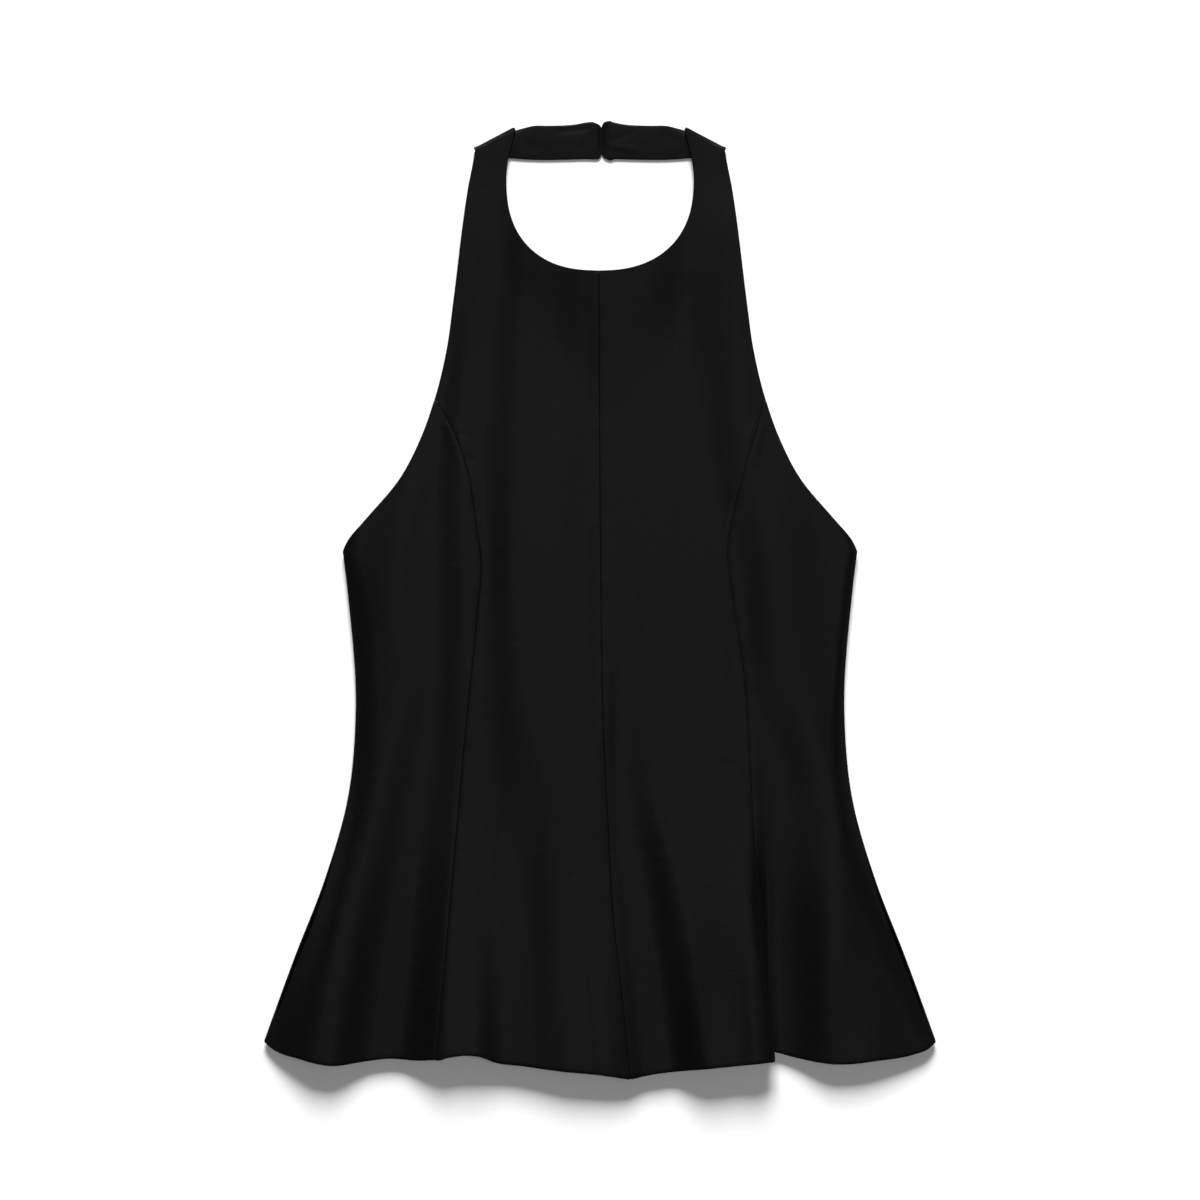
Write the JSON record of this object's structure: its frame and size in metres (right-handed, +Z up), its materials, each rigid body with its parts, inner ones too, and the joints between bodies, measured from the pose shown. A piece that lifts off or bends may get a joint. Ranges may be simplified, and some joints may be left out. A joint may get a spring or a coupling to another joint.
{
  "type": "peplum top",
  "caption": "Sleeveless halter-neck top of black crepe, fitted to a low waist and flared into a fluted peplum, laid flat with its front up.",
  "frame": {"origin": "middle of the garment's length and width, on the surface that it lies on", "axes": "+Y from the hem to the neck, +X to the wearer's left, +Z up from the surface, out of the front"},
  "size_m": [0.504, 0.7172, 0.0231],
  "materials": {
    "crepe": "matt heavy crepe with a faint sheen, black"
  },
  "bodies": {
    "root": {"front_centre_right": "crepe", "front_centre_left": "crepe", "front_side_right": "crepe", "front_side_left": "crepe", "back_right": "crepe", "back_left": "crepe", "neck_band_right": "crepe", "neck_band_left": "crepe"}
  },
  "joints": []
}
